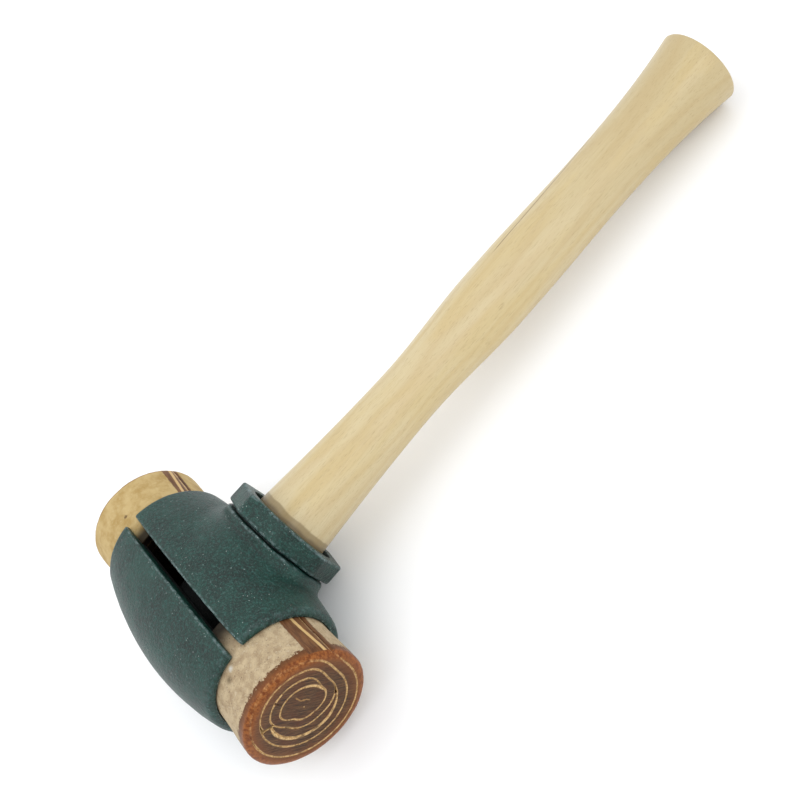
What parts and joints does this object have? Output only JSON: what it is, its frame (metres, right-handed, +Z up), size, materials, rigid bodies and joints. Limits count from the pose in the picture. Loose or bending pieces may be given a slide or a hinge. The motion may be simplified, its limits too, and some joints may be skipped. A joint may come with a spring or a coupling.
{
  "type": "split-head rawhide mallet",
  "caption": "Split-head mallet: cast jaws, closed by an octagonal nut on a threaded stem, grip rolled rawhide striking faces; the turned wooden handle is wedged in the stem.",
  "frame": {"origin": "centre of the bounding box's base, on the table that the mallet lies on", "axes": "+X along the head to the front striking face, +Y along the handle to its butt, +Z up; the handle leans down to its butt by about 2.4 degrees, as the mallet lies"},
  "size_m": [0.134, 0.3411, 0.0629],
  "materials": {
    "ash_handle": "clear lacquered ash, long fine grain",
    "green_iron": "semi-gloss dark green paint over a cast skin",
    "wedge_wood": "raw hardwood end grain",
    "rawhide_outer": "cream to tan rawhide with an amber worn rim",
    "rawhide_core": "dark glossy cut rawhide with light seams"
  },
  "bodies": {
    "fixed_head": {"outer_jaw": "green_iron", "handle": "ash_handle", "fox_wedge": "wedge_wood"},
    "sliding_jaw": {"inner_jaw": "green_iron"},
    "nut": {"clamp_nut": "green_iron"},
    "front_face": {"front_core_coil": "rawhide_core", "front_inner_wrap": "rawhide_core", "front_filler_strip": "rawhide_core", "front_outer_wrap": "rawhide_outer"},
    "rear_face": {"rear_core_coil": "rawhide_core", "rear_inner_wrap": "rawhide_core", "rear_filler_strip": "rawhide_core", "rear_outer_wrap": "rawhide_outer"}
  },
  "joints": [
    {"name": "jaw_release", "type": "slide", "parent": "fixed_head", "child": "sliding_jaw", "axis": [0, 0.9991, -0.0425], "range_m": [0, 0.005]},
    {"name": "nut_turn", "type": "hinge", "parent": "sliding_jaw", "child": "nut", "pos_m": [0, -0.0953, 0.02981], "axis": [0, 0.9991, -0.0425], "range_deg": [0, 720]},
    {"name": "front_face_pull", "type": "slide", "parent": "fixed_head", "child": "front_face", "axis": [1, 0, 0], "range_m": [0, 0.03]},
    {"name": "rear_face_pull", "type": "slide", "parent": "fixed_head", "child": "rear_face", "axis": [-1, 0, 0], "range_m": [0, 0.03]}
  ],
  "couplings": [
    {"joint": "jaw_release", "follows": "nut_turn", "m_per_rad": 0.00039789}
  ]
}
